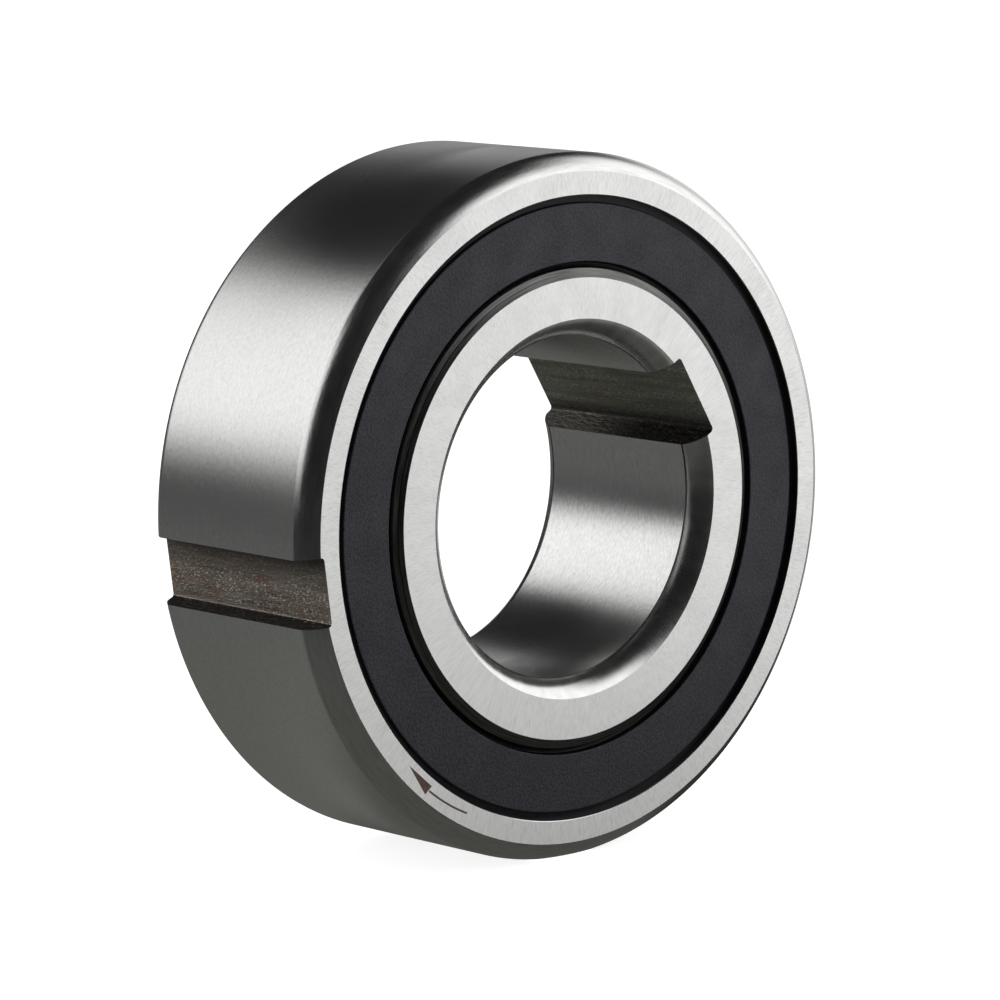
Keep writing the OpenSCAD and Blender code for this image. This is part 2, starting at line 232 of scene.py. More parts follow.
def grain_group():
    """Fine noise between two levels, for tone and for height."""
    tree = bpy.data.node_groups.new("grain", "ShaderNodeTree")
    tree.interface.new_socket("Place", in_out="INPUT", socket_type="NodeSocketVector")
    for name in ("Detail", "Low", "High"):
        tree.interface.new_socket(name, in_out="INPUT", socket_type="NodeSocketFloat")
    tree.interface.new_socket("Value", in_out="OUTPUT", socket_type="NodeSocketFloat")
    given = tree.nodes.new("NodeGroupInput")
    out = tree.nodes.new("NodeGroupOutput")
    noise = node(tree, "ShaderNodeTexNoise", Scale=1.0)
    spread = tree.nodes.new("ShaderNodeMapRange")
    tree.links.new(given.outputs["Place"], noise.inputs["Vector"])
    tree.links.new(given.outputs["Detail"], noise.inputs["Detail"])
    tree.links.new(noise.outputs["Fac"], spread.inputs["Value"])
    tree.links.new(given.outputs["Low"], spread.inputs["From Min"])
    tree.links.new(given.outputs["High"], spread.inputs["From Max"])
    tree.links.new(spread.outputs["Result"], out.inputs["Value"])
    return tree


ROUND_AXIS = round_axis_group()
GRAIN = grain_group()


class Finish:
    """A material under construction, with the shared groups at hand."""

    def __init__(self, name, **values):
        self.material, self.tree, out = bare_material(name)
        self.shader = node(self.tree, "ShaderNodeBsdfPrincipled", **values)
        self.link(self.shader.outputs[0], out.inputs["Surface"])

    def link(self, a, b):
        self.tree.links.new(a, b)

    def place(self, turns=0.0, radial=0.0, axial=0.0):
        """Round the clutch axis: how fine a grain is that way, outward and along the axis."""
        made = node(self.tree, "ShaderNodeGroup", node_tree=ROUND_AXIS)
        for key, value in (("Turns", turns), ("Radial", radial), ("Axial", axial)):
            made.inputs[key].default_value = value
        return made.outputs["Place"]

    def slant(self, place, share, drawn_out=0.25):
        """Shears a place round the axis, so that marks across a face lie aslant and drawn out."""
        across, upward, outward = split_place(self.tree, place)
        lean = times(self.tree, outward, share)
        return joined_place(self.tree, (
            math_node(self.tree, "ADD", across, lean),
            math_node(self.tree, "SUBTRACT", upward, lean),
            times(self.tree, outward, drawn_out)))

    def object_place(self, x=1, y=1, z=1):
        where = self.tree.nodes.new("ShaderNodeTexCoord")
        made = node(self.tree, "ShaderNodeMapping", Scale=(x, y, z))
        self.link(where.outputs["Object"], made.inputs["Vector"])
        return made.outputs[0]

    def grain(self, place, low, high, detail=3.0):
        made = node(self.tree, "ShaderNodeGroup", node_tree=GRAIN)
        self.link(place, made.inputs["Place"])
        for key, value in (("Detail", detail), ("Low", low), ("High", high)):
            made.inputs[key].default_value = value
        return made.outputs["Value"]

    def mix(self, factor, dark, light):
        return colour_mix(self.tree, factor, dark, light)

    def colour(self, socket):
        self.link(socket, self.shader.inputs["Base Color"])

    def roughness(self, factor, low, high):
        self.link(ramp(self.tree, factor, (0, 1), (low, high)), self.shader.inputs["Roughness"])

    def bump(self, height, distance, strength):
        made = node(self.tree, "ShaderNodeBump", Distance=distance, Strength=strength)
        self.link(height, made.inputs["Height"])
        self.link(made.outputs[0], self.shader.inputs["Normal"])


# Finishes

def ground_face_steel():
    """The flat ring faces: bright, with short fine marks that lie aslant across the face."""
    made = Finish("ground_face_steel", Metallic=0.58)
    marks = made.grain(made.slant(made.place(turns=260, radial=2800), 0.6), 0.25, 0.75)
    crossed = made.grain(made.slant(made.place(turns=200, radial=2200), -0.5), 0.52, 0.75, detail=2)
    cloud = made.grain(made.place(turns=9, radial=300), 0.3, 0.7)
    tone = made.mix(marks, (0.83, 0.83, 0.82), (0.99, 0.99, 0.98))
    made.colour(made.mix(crossed, tone, (0.76, 0.76, 0.75)))
    made.roughness(cloud, 0.48, 0.56)
    made.bump(marks, 4 * MICRON, 0.5)
    return made.material


def ground_round_steel(name, base, light, turns, axial):
    """The rim and the bore: a fine satin grain, drawn out a little round the axis."""
    made = Finish(name, Metallic=1.0, Anisotropic=0.5)
    longer, darker = 0.3, 0.86
    lines = made.grain(made.place(turns=turns * longer, axial=axial), 0.2, 0.8, detail=2)
    grain = made.grain(made.place(turns=turns, axial=axial), 0.2, 0.8)
    cloud = made.grain(made.place(turns=3, axial=120), 0.2, 0.8, detail=2)
    dark = tuple(darker * value for value in base)
    made.colour(made.mix(grain, made.mix(lines, dark, base), light))
    made.roughness(cloud, 0.24, 0.28)
    made.bump(grain, 4 * MICRON, 0.5)
    return made.material


def turned_corner_steel():
    """The rounded corners: turned and left darker than the ground faces, but smoother."""
    made = Finish("turned_corner_steel", Metallic=1.0)
    lines = made.grain(made.place(turns=14, radial=2600, axial=2600), 0.25, 0.75)
    grain = made.grain(made.place(turns=90, radial=3600, axial=3600), 0.2, 0.8)
    made.colour(made.mix(lines, (0.55, 0.55, 0.54), (0.68, 0.68, 0.67)))
    made.roughness(lines, 0.18, 0.26)
    made.bump(grain, 6 * MICRON, 0.6)
    return made.material


def milled_keyway_steel(name, tones, speck, lit):
    """A keyway's floor: rough from cutting, grey-brown with bright specks drawn out along the slot.

    It is in painted shade, as in the shadow of the wall beside it, at the first height of lit, and lit
    and bright with specks from the second on.
    """
    made = Finish(name, Metallic=0.75)
    painted_shadow_tone, dark, light, rust = tones
    # Painted shade: with height, the floor goes from the colour of the wall's shadow to its lit
    # colours.
    height = split_place(made.tree, made.object_place())[2]
    share = ramp(made.tree, height, [h * MM for h in lit])
    grit = made.grain(made.object_place(7000, 3000, 7000), 0.35, 0.65, detail=4)
    streak = made.grain(made.object_place(3200, 160, 3200), 0.3, 0.7)
    stain = made.grain(made.object_place(900, 420, 900), 0.5, 0.72)
    row = made.grain(made.object_place(1500, 110, 1500), 0.36, 0.56, detail=2)
    sparks = made.grain(made.object_place(8500, 3400, 8500), 0.54, 0.66)
    tone = made.mix(stain, made.mix(streak, dark, light), rust)
    # Painted shade on the band next to the wall; the specks below show only where it has lifted.
    tone = made.mix(share, painted_shadow_tone, tone)
    sparks = times(made.tree, times(made.tree, sparks, row), share)
    made.colour(made.mix(sparks, tone, speck))
    made.roughness(grit, 0.38, 0.62)
    made.bump(grit, 30 * MICRON, 0.8)
    return made.material


def keyway_wall_steel(name, dark, light, speck, rear=None):
    """The lower wall and corner of a keyway: coloured near black, with bright specks where the cutter
    tore.

    rear is a painted light: the colour to which the wall lightens towards the back of the slot, where
    it is lit, leaving painted shade at the front.
    """
    made = Finish(name, Metallic=0.8)
    lumps = made.grain(made.object_place(2600, 1100, 2600), 0.35, 0.65, detail=5)
    sparks = made.grain(made.object_place(7000, 3600, 7000), 0.6, 0.72)
    tone = made.mix(lumps, dark, light)
    # Painted light: the wall is lightened towards the back of the slot and kept darker, as painted
    # shade, at the front.
    if rear:
        back = split_place(made.tree, made.object_place())[1]
        tone = made.mix(ramp(made.tree, back, [y * MM for y in WALL_PAINTED_LIGHT_SPAN]), tone, rear)
    made.colour(made.mix(sparks, tone, speck))
    made.roughness(lumps, 0.45, 0.75)
    made.bump(lumps, 80 * MICRON, 1.0)
    return made.material


def step_painted_shade_steel():
    """The inner ring's step and the bore's bevel: near black as painted shade, with fine lines round.
    """
    made = Finish("step_painted_shade_steel", Metallic=1.0)
    lines = made.grain(made.place(turns=6, radial=9000, axial=9000), 0.3, 0.7)
    # Painted shade: a near-black base colour makes the step and the bevel read as dark lines.
    made.colour(made.mix(lines, (0.06, 0.059, 0.061), (0.18, 0.176, 0.17)))
    made.roughness(lines, 0.28, 0.4)
    made.bump(lines, 4 * MICRON, 0.6)
    return made.material


def hardened_track_steel():
    """The tracks and grooves behind the seals: lapped, with the finest lines."""
    made = Finish("hardened_track_steel", Metallic=1.0)
    lines = made.grain(made.place(turns=5, axial=14000), 0.3, 0.7)
    made.colour(made.mix(lines, (0.66, 0.66, 0.67), (0.74, 0.74, 0.75)))
    made.roughness(lines, 0.12, 0.18)
    made.bump(lines, 2 * MICRON, 0.4)
    return made.material


def seal_rubber():
    """The seal's flat: matt black rubber with the fine grain of its mould."""
    made = Finish("seal_rubber", **{"Metallic": 0.0, "Specular IOR Level": 0.4})
    grain = made.grain(made.object_place(4600, 4600, 4600), 0.34, 0.66, detail=2)
    cloud = made.grain(made.object_place(300, 300, 300), 0.3, 0.7)
    made.colour(made.mix(grain, (0.0085, 0.009, 0.013), (0.034, 0.035, 0.047)))
    made.roughness(cloud, 0.5, 0.62)
    made.bump(grain, 30 * MICRON, 0.5)
    return made.material


def seal_gloss_and_painted_shade():
    """The rubber in the channels: as smooth as the mould that it came from, and darker than the flat, a
    painted shade in the channels.
    """
    made = Finish("seal_gloss_and_painted_shade", **{"Metallic": 0.0, "Specular IOR Level": 0.12})
    ripple = made.grain(made.place(turns=30, radial=2000, axial=2000), 0.3, 0.7)
    # Painted shade: the channel rubber is coloured near black, darker than the flat.
    made.colour(made.mix(ripple, (0.003, 0.003, 0.004), (0.007, 0.007, 0.009)))
    made.roughness(ripple, 0.3, 0.45)
    return made.material


def etched_mark():
    """The arrow: a brown-grey etched colour, slightly uneven."""
    made = Finish("etched_mark", Metallic=0.3)
    blotch = made.grain(made.object_place(5000, 5000, 5000), 0.3, 0.7)
    made.colour(made.mix(blotch, (0.075, 0.040, 0.034), (0.17, 0.105, 0.088)))
    made.roughness(blotch, 0.5, 0.7)
    return made.material


def plain_metal(name, dark, light, rough, size, bump):
    """Pressed, tumbled, plated, drawn and lapped steel of the parts sealed inside."""
    made = Finish(name, Metallic=1.0)
    wear = made.grain(made.object_place(size, size, size), 0.3, 0.7, detail=4)
    made.colour(made.mix(wear, dark, light))
    made.roughness(wear, rough * 0.85, rough * 1.2)
    made.bump(wear, bump * MICRON, 0.5)
    return made.material


# Mesh helpers. Outlines and sections are in millimetres.

def arc(centre, radius, start, end, count):
    """Points of an arc in a section, start and end in degrees, both ends included."""
    step = (end - start) / count
    turns = [math.radians(start + step * n) for n in range(count + 1)]
    return [(centre[0] + radius * math.cos(t), centre[1] + radius * math.sin(t)) for t in turns]


def corner_arc(wall_r, radius, reach, depth, side):
    """The turned corner in a section's front half: a narrow bevel at the wall, then an arc to the face.

    side is 1 for a corner on the rim and -1 for one in the bore.
    """
    sink = math.sqrt((radius / math.hypot(reach, depth)) ** 2 - 0.5 ** 2)
    centre = (wall_r - side * (reach / 2 + sink * depth), HALF_W - depth / 2 - sink * reach)
    edge = (wall_r, HALF_W - depth - CORNER_BEVEL_W / 2)
    lean = math.radians(CORNER_BEVEL_LEAN)
    way = (-side * math.sin(lean), math.cos(lean))
    gap = (edge[0] - centre[0], edge[1] - centre[1])
    along = gap[0] * way[0] + gap[1] * way[1]
    length = math.sqrt(along ** 2 + radius ** 2 - gap[0] ** 2 - gap[1] ** 2) - along
    meet = math.degrees(math.atan2(gap[1] + length * way[1], gap[0] + length * way[0]))
    end = math.degrees(math.atan2(HALF_W - centre[1], wall_r - side * reach - centre[0]))
    return [edge] + arc(centre, radius, meet, end, CORNER_STEPS)


def groove_arc(wall_r, side):
    """The ball groove in a track, from front to rear. side is 1 in the outer ring, or -1."""
    groove_r = GROOVE_FIT * BALL_D
    bottom = PITCH_R + side * (BALL_D / 2 + BALL_GAP)
    centre_r = bottom - side * groove_r
    half = math.degrees(math.acos(abs(wall_r - centre_r) / groove_r))
    middle = 0 if side > 0 else 180
    centre = (centre_r, -BALL_ROW)
    return arc(centre, groove_r, middle + side * half, middle - side * half, GROOVE_STEPS)


def new_object(name, mesh):
    """Makes an object of a bmesh, which is used up."""
    data = bpy.data.meshes.new(name)
    mesh.to_mesh(data)
    mesh.free()
    made = bpy.data.objects.new(name, data)
    bpy.context.scene.collection.objects.link(made)
    return made


def smooth(data, sharp):
    data.shade_smooth()
    data.set_sharp_from_angle(angle=math.radians(sharp))


def finish_mesh(name, mesh, materials):
    made = new_object(name, mesh)
    for material in materials:
        made.data.materials.append(material)
    smooth(made.data, SHARP_ANGLE)
    return made


def revolve(name, section, materials):
    """Turns a closed section of (radius, height, material number) points about the clutch axis.

    A height counts towards the front face. The number belongs to the wall from that point to the next.
    """
    mesh = bmesh.new()
    rings = []
    for n in range(STEPS_ROUND):
        turn = 2 * math.pi * n / STEPS_ROUND
        c, s = math.cos(turn) * MM, math.sin(turn) * MM
        rings.append([mesh.verts.new((r * c, -h * MM, r * s)) for r, h, _ in section])
    count = len(section)
    for n in range(STEPS_ROUND):
        a, b = rings[n], rings[(n + 1) % STEPS_ROUND]
        for k in range(count):
            face = mesh.faces.new((a[k], a[(k + 1) % count], b[(k + 1) % count], b[k]))
            face.material_index = section[k][2]
    bmesh.ops.recalc_face_normals(mesh, faces=mesh.faces[:])
    return finish_mesh(name, mesh, materials)


def prism(name, outline, low, high, materials, number, wall_number=None):
    """A straight block with the given outline in the XZ plane, between two heights.

    Sides that look down take wall_number, where it is given. They leave walls that look up.
    """
    mesh = bmesh.new()
    near = [mesh.verts.new((x * MM, -high * MM, z * MM)) for x, z in outline]
    far = [mesh.verts.new((x * MM, -low * MM, z * MM)) for x, z in outline]
    mesh.faces.new(near)
    mesh.faces.new(far)
    count = len(outline)
    for k in range(count):
        mesh.faces.new((near[k], near[(k + 1) % count], far[(k + 1) % count], far[k]))
    bmesh.ops.recalc_face_normals(mesh, faces=mesh.faces[:])
    mesh.normal_update()
    for face in mesh.faces:
        down = wall_number is not None and face.normal.z < WALL_LEAN
        face.material_index = wall_number if down else number
    return finish_mesh(name, mesh, materials)


def settle(target, sharp):
    """Turns an object's modifiers into plain mesh."""
    shown = target.evaluated_get(bpy.context.evaluated_depsgraph_get())
    data = bpy.data.meshes.new_from_object(shown)
    target.modifiers.clear()
    target.data = data
    smooth(data, sharp)


def cut(target, cutter):
    """Cuts the block out of the target and deletes it."""
    step = target.modifiers.new("cut", "BOOLEAN")
    step.operation = "DIFFERENCE"
    step.solver = "EXACT"
    step.object = cutter
    settle(target, SHARP_ANGLE)
    bpy.data.objects.remove(cutter)


def turned(points, degrees):
    c, s = math.cos(math.radians(degrees)), math.sin(math.radians(degrees))
    return [(x * c - z * s, x * s + z * c) for x, z in points]


def at(radius, degrees):
    return radius * math.cos(math.radians(degrees)), radius * math.sin(math.radians(degrees))


def key_outline(name, floor_r, open_r):
    """A keyway's outline, pointing along its own angle, with rounded corners at its floor."""
    key = KEYS[name]
    half, corner = key["width"] / 2, key["corner"]
    side = 1 if floor_r > open_r else -1
    centre_x = floor_r - side * corner
    start = 0 if side > 0 else 180
    upper = arc((centre_x, half - corner), corner, start, 90, FILLET_STEPS)
    lower = arc((centre_x, corner - half), corner, -90, -start, FILLET_STEPS)
    points = upper + [(open_r, half), (open_r, -half)] + lower
    place = MOUNTS[name]["pos_m"]
    return turned(points, math.degrees(math.atan2(place[2], place[0])))


def slot_block(key, floor_r, open_r, materials, number, wall_number):
    """The block that cuts a keyway through a ring from face to face."""
    outline = key_outline(key, floor_r, open_r)
    past = HALF_W + SLOT_PAST
    return prism("slot", outline, -past, past, materials, number, wall_number)


def numbered(points, number_of):
    """Adds to each point the material number of the wall that starts there."""
    count = len(points)
    out = []
    for k, (r, h) in enumerate(points):
        r2, h2 = points[(k + 1) % count]
        out.append((r, h, number_of((r + r2) / 2, (h + h2) / 2, abs(h2 - h) < FLAT)))
    return out


def mirrored(front, groove):
    """A ring's whole section: its front half, the ball groove, and the front half again at the rear."""
    return front + groove + [(r, -h) for r, h in reversed(front)]


# Pieces

def arrow_outlines():
    """The arrow on the front face: a solid head and a curved shaft."""
    head = [at(radius, angle) for radius, angle in ARROW_HEAD]
    inner, outer = [], []
    for n in range(SHAFT_STEPS + 1):
        share = n / SHAFT_STEPS
        angle = SHAFT_START + (SHAFT_END - SHAFT_START) * share
        middle = SHAFT_R - SHAFT_DRIFT * share ** 2
        inner.append(at(middle - SHAFT_HALF_W, angle))
        outer.append(at(middle + SHAFT_HALF_W, angle))
    return head, inner + outer[::-1]


def outer_ring(finishes):
    front = corner_arc(RIM_R, RIM_CORNER_R, RIM_CORNER_REACH, RIM_CORNER_DEPTH, 1)
    front += [(SEAT_R + EDGE_BREAK, HALF_W), (SEAT_R, HALF_W - EDGE_BREAK)]
    front += [(SEAT_R, HALF_W - SNAP_TOP), (SNAP_R, HALF_W - SNAP_TOP), (SNAP_R, HALF_W - SNAP_LOW)]
    front += [(SHOULDER_R, HALF_W - SNAP_LOW), (SHOULDER_R, HALF_W - SNAP_LOW - SHOULDER_W)]
    front += [(OUTER_TRACK_R, HALF_W - SNAP_LOW - 2 * SHOULDER_W)]
    names = ["rim", "corner", "face", "track", "keyway", "mark", "keyway_wall"]

    def number(r, h, flat):
        if flat and abs(abs(h) - HALF_W) < NEAR:
            return names.index("face")
        if r > RIM_R - CORNER_BEVEL_RISE:
            return names.index("rim")
        if r > RIM_R - RIM_CORNER_REACH:
            return names.index("corner")
        return names.index("track")

    materials = [finishes[n] for n in names]
    points = mirrored(front, groove_arc(OUTER_TRACK_R, 1))
    made = revolve("outer_ring_ground", numbered(points, number), materials)
    floor_r = RIM_R - KEYS["rim_keyway"]["depth"]
    blocks = [slot_block("rim_keyway", floor_r, RIM_R + SLOT_OVER, materials,
                         names.index("keyway"), names.index("keyway_wall"))]
    for outline in arrow_outlines():
        blocks.append(prism("mark", outline, HALF_W - MARK_DEPTH, HALF_W + MARK_PAST, materials,
                            names.index("mark")))
    for block in blocks:
        cut(made, block)
    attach(made, "outer_ring")
    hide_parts("outer_ring")


def inner_ring(finishes):
    front = corner_arc(BORE_R, BORE_CORNER_R, BORE_CORNER_REACH, BORE_CORNER_DEPTH, -1)
    land_r = INNER_TRACK_R - LAND_BEVEL
    middle_r = land_r + LAND_BEVEL / 2
    front += [(land_r, HALF_W), (middle_r, HALF_W - LAND_BEVEL_DEPTH / 2)]
    front += [(middle_r, HALF_W - LAND_BEVEL_DEPTH / 2 - LAND_STEP)]
    front += [(INNER_TRACK_R, HALF_W - LAND_BEVEL_DEPTH)]
    names = ["bore", "corner", "face", "track", "bore_keyway", "bore_keyway_wall", "step"]

    def number(r, h, flat):
        if flat and abs(abs(h) - HALF_W) < NEAR:
            return names.index("face")
        if r < BORE_R + NEAR:
            return names.index("bore")
        if r < BORE_R + CORNER_BEVEL_RISE:
            return names.index("step")
        if r < BORE_R + BORE_CORNER_REACH:
            return names.index("corner")
        if land_r < r < INNER_TRACK_R - NEAR and abs(h) > HALF_W - LAND_BEVEL_DEPTH - NEAR:
            return names.index("step")
        return names.index("track")

    materials = [finishes[n] for n in names]
    points = mirrored(front, groove_arc(INNER_TRACK_R, -1))
    made = revolve("inner_ring_ground", numbered(points, number), materials)
    floor_r = BORE_R + KEYS["bore_keyway"]["depth"]
    cut(made, slot_block("bore_keyway", floor_r, BORE_R - SLOT_OVER, materials,
                         names.index("bore_keyway"), names.index("bore_keyway_wall")))
    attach(made, "inner_ring")
    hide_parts("inner_ring")


def seal_section():
    """The rubber's section, front seal, with the washer's place left open behind it."""
    floor_h = HALF_W - SNAP_TOP - SNAP_GAP
    core_top = floor_h - SEAL_SKIN
    core_low = core_top - CORE_T
    snap_low = HALF_W - SNAP_LOW
    face_h = HALF_W - SEAL_RECESS
    core_in, core_out = SEAL_IN_R + CORE_IN_GAP, SEAT_R - CORE_OUT_GAP
    flange_in = core_out - CORE_T
    skin_in = flange_in - FLANGE_SKIN
    bead_r = SNAP_R - SNAP_GAP
    lip_r = INNER_TRACK_R + LIP_GAP
    edge = SEAL_EDGE_R
    points = arc((SEAL_IN_R + edge, face_h - edge), edge, 180, 90, SEAL_EDGE_STEPS)
    points += arc((SEAL_OUT_R - edge, face_h - edge), edge, 90, 0, SEAL_EDGE_STEPS)
    points += [(SEAL_OUT_R + SEAL_FOOT, floor_h)]
    points += [(bead_r - BEAD_BEVEL, floor_h), (bead_r, floor_h - BEAD_BEVEL)]
    points += [(bead_r, snap_low + BEAD_BEVEL), (bead_r - BEAD_BEVEL, snap_low)]
    points += [(skin_in, snap_low), (skin_in, core_low), (flange_in, core_low)]
    points += [(flange_in, snap_low + CORE_T / 2), (core_out, snap_low + CORE_T / 2)]
    points += [(core_out, core_top), (core_in, core_top), (core_in, core_low)]
    points += [(core_in - LIP_SKIN, core_low - LIP_DROP), (lip_r, core_low - LIP_LOW)]
    points += [(lip_r, core_low + LIP_HIGH), (SEAL_IN_R - LIP_NECK, core_top)]
    return points


def seal(name, side, rubber, gloss_and_shade):
    """The rubber of a seal. Its flat is matt, and the channels beside the flat are smooth and painted
    black as shade.
    """
    edge_h = HALF_W - SEAL_RECESS - SEAL_EDGE_R / 2

    def number(r, h, flat):
        return 0 if h > edge_h else 1

    section = [(r, side * h, n) for r, h, n in numbered(seal_section(), number)]
    made = revolve(f"{name}_rubber", section, [rubber, gloss_and_shade])
    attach(made, "outer_ring")
    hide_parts(name)


def coil_group(material):
    """A close-wound coil bent into a ring round the clutch axis, drawn by its wire."""
    tree = bpy.data.node_groups.new("garter_coil", "GeometryNodeTree")
    tree.interface.new_socket("Turns", in_out="INPUT", socket_type="NodeSocketInt")
    for name in ("Ring Radius", "Coil Radius", "Wire Radius", "Row"):
        tree.interface.new_socket(name, in_out="INPUT", socket_type="NodeSocketFloat")
    tree.interface.new_socket("Geometry", in_out="OUTPUT", socket_type="NodeSocketGeometry")
    given = tree.nodes.new("NodeGroupInput")
    points = times(tree, given.outputs["Turns"], COIL_STEPS)
    index = tree.nodes.new("GeometryNodeInputIndex").outputs[0]
    round_turn = times(tree, math_node(tree, "DIVIDE", index, points), 2 * math.pi)
    coil_turn = times(tree, round_turn, given.outputs["Turns"])
    swing = times(tree, math_node(tree, "COSINE", coil_turn), given.outputs["Coil Radius"])
    rise = times(tree, math_node(tree, "SINE", coil_turn), given.outputs["Coil Radius"])
    reach = math_node(tree, "ADD", given.outputs["Ring Radius"], swing)
    place = joined_place(tree, (
        times(tree, reach, math_node(tree, "COSINE", round_turn)),
        math_node(tree, "ADD", given.outputs["Row"], rise),
        times(tree, reach, math_node(tree, "SINE", round_turn))))
    line = tree.nodes.new("GeometryNodeMeshLine")
    laid = tree.nodes.new("GeometryNodeSetPosition")
    wire = tree.nodes.new("GeometryNodeMeshToCurve")
    closed = node(tree, "GeometryNodeSetSplineCyclic", Cyclic=True)
    profile = node(tree, "GeometryNodeCurvePrimitiveCircle", Resolution=WIRE_SIDES)
    swept = tree.nodes.new("GeometryNodeCurveToMesh")
    whole = tree.nodes.new("GeometryNodeRealizeInstances")
    dressed = node(tree, "GeometryNodeSetMaterial", Material=material)
    out = tree.nodes.new("NodeGroupOutput")
    tree.links.new(points, line.inputs["Count"])
    tree.links.new(place, laid.inputs["Position"])
    tree.links.new(given.outputs["Wire Radius"], profile.inputs["Radius"])
    tree.links.new(profile.outputs[0], swept.inputs["Profile Curve"])
    chain = (line, laid, wire, closed, swept, whole, dressed, out)
    for giver, taker in zip(chain, chain[1:]):
        tree.links.new(giver.outputs[0], taker.inputs[0])
    return tree


def garter_spring(material):
    """The garter spring as its wire: hundreds of close turns joined into a ring."""
    ring_r = OUTER_TRACK_R - SPRING_TRACK_GAP - COIL_D / 2
    wire_d = 2 * math.pi * ring_r / COIL_TURNS * COIL_FILL
    tree = coil_group(material)
    made = new_object("garter_spring_wire", bmesh.new())
    step = made.modifiers.new("coil", "NODES")
    step.node_group = tree
    values = {"Turns": COIL_TURNS, "Ring Radius": ring_r * MM, "Row": SPRAG_ROW * MM,
              "Coil Radius": (COIL_D - wire_d) / 2 * MM, "Wire Radius": wire_d / 2 * MM}
    for socket in tree.interface.items_tree:
        if socket.name in values:
            step[socket.identifier] = values[socket.name]
    settle(made, WIRE_SHARP_ANGLE)
    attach(made, "outer_ring")
    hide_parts("garter_spring")


def dress_inner_parts():
    """Gives the sealed-in CAD pieces their finishes."""
    plated = plain_metal("plated_washer_steel", (0.55, 0.53, 0.42), (0.68, 0.66, 0.55), 0.3, 900, 10)
    pressed = plain_metal("pressed_cage_steel", (0.42, 0.42, 0.43), (0.56, 0.56, 0.57), 0.34, 2500, 10)
    lapped = plain_metal("lapped_ball_steel", (0.80, 0.81, 0.82), (0.86, 0.87, 0.88), 0.06, 600, 1)
    tumbled = plain_metal("tumbled_sprag_steel", (0.36, 0.36, 0.38), (0.50, 0.50, 0.52), 0.28, 4000, 10)
    for name, thing in frame["nodes"].items():
        if name.endswith("_core"):
            chosen = plated
        elif name.startswith("ball_cage") or name in ("cage_rivets", "sprag_cage"):
            chosen = pressed
        elif name.startswith("ball_"):
            chosen = lapped
        elif name.startswith("sprag_"):
            chosen = tumbled
        else:
            continue
        for slot in thing.material_slots:
            slot.material = chosen


# Studio

def seen_directly(tree):
    """1 for rays from the camera and for those that come by a mirror or through glass."""
    path = tree.nodes.new("ShaderNodeLightPath")
    some = math_node(tree, "MAXIMUM", path.outputs["Is Camera Ray"], path.outputs["Is Glossy Ray"])
    return math_node(tree, "MAXIMUM", some, path.outputs["Is Transmission Ray"])


def studio_floor():
    """A pale floor that is white where it is seen and keeps the clutch's soft shadow."""
    mesh = bmesh.new()
    mesh.faces.new([mesh.verts.new((x * FLOOR_HALF, y * FLOOR_HALF, -RIM_R * MM))
                    for x, y in ((-1, -1), (1, -1), (1, 1), (-1, 1))])
    made = new_object("floor", mesh)
    material, tree, out = bare_material("pale_floor")
    both = tree.nodes.new("ShaderNodeAddShader")
    glow = node(tree, "ShaderNodeEmission", Color=(1, 1, 1, 1))
    shade = node(tree, "ShaderNodeBsdfDiffuse", Color=(FLOOR_SHADE, FLOOR_SHADE, FLOOR_SHADE, 1))
    tree.links.new(times(tree, seen_directly(tree), FLOOR_GLOW), glow.inputs["Strength"])
    tree.links.new(glow.outputs[0], both.inputs[0])
    tree.links.new(shade.outputs[0], both.inputs[1])
    tree.links.new(both.outputs[0], out.inputs["Surface"])
    made.data.materials.append(material)


def studio_world():
    """A white backdrop all round, and an even soft fill."""
    world = bpy.data.worlds.new("studio")
    bpy.context.scene.world = world
    world.use_nodes = True
    tree = world.node_tree
    tree.nodes.clear()
    out = tree.nodes.new("ShaderNodeOutputWorld")
    white = node(tree, "ShaderNodeBackground", Color=(1, 1, 1, 1), Strength=1.0)
    fill = node(tree, "ShaderNodeBackground", Color=(1, 1, 1, 1), Strength=WORLD_FILL)
    mix = tree.nodes.new("ShaderNodeMixShader")
    tree.links.new(seen_directly(tree), mix.inputs[0])
    tree.links.new(fill.outputs[0], mix.inputs[1])
    tree.links.new(white.outputs[0], mix.inputs[2])
    tree.links.new(mix.outputs[0], out.inputs["Surface"])


def toned_panel(tree, where, centre, half, elevations, soft, tone):
    """Light from one part of the studio: an azimuth with a half width and two elevations, in degrees.

    Azimuth 0 is behind the clutch and positive towards +X. where holds the sockets of the point's x
    and y direction from the clutch, its distance from the vertical, and its elevation.
    """
    x, y, level, height = where
    turn = math.radians(centre)
    along = math_node(tree, "ADD", times(tree, x, math.sin(turn)), times(tree, y, math.cos(turn)))
    facing = math_node(tree, "DIVIDE", along, level)
    outside = math.cos(math.radians(min(half + soft, 180)))
    inside = math.cos(math.radians(max(half - soft, 0)))
    low, high = elevations
    edges = (
        (facing, (outside, inside)),
        (height, (low - soft, low + soft)),
        (height, (high + soft, high - soft)),
    )
    for value, limits in edges:
        tone = times(tree, ramp(tree, value, limits, kind="SMOOTHSTEP"), tone)
    return tone


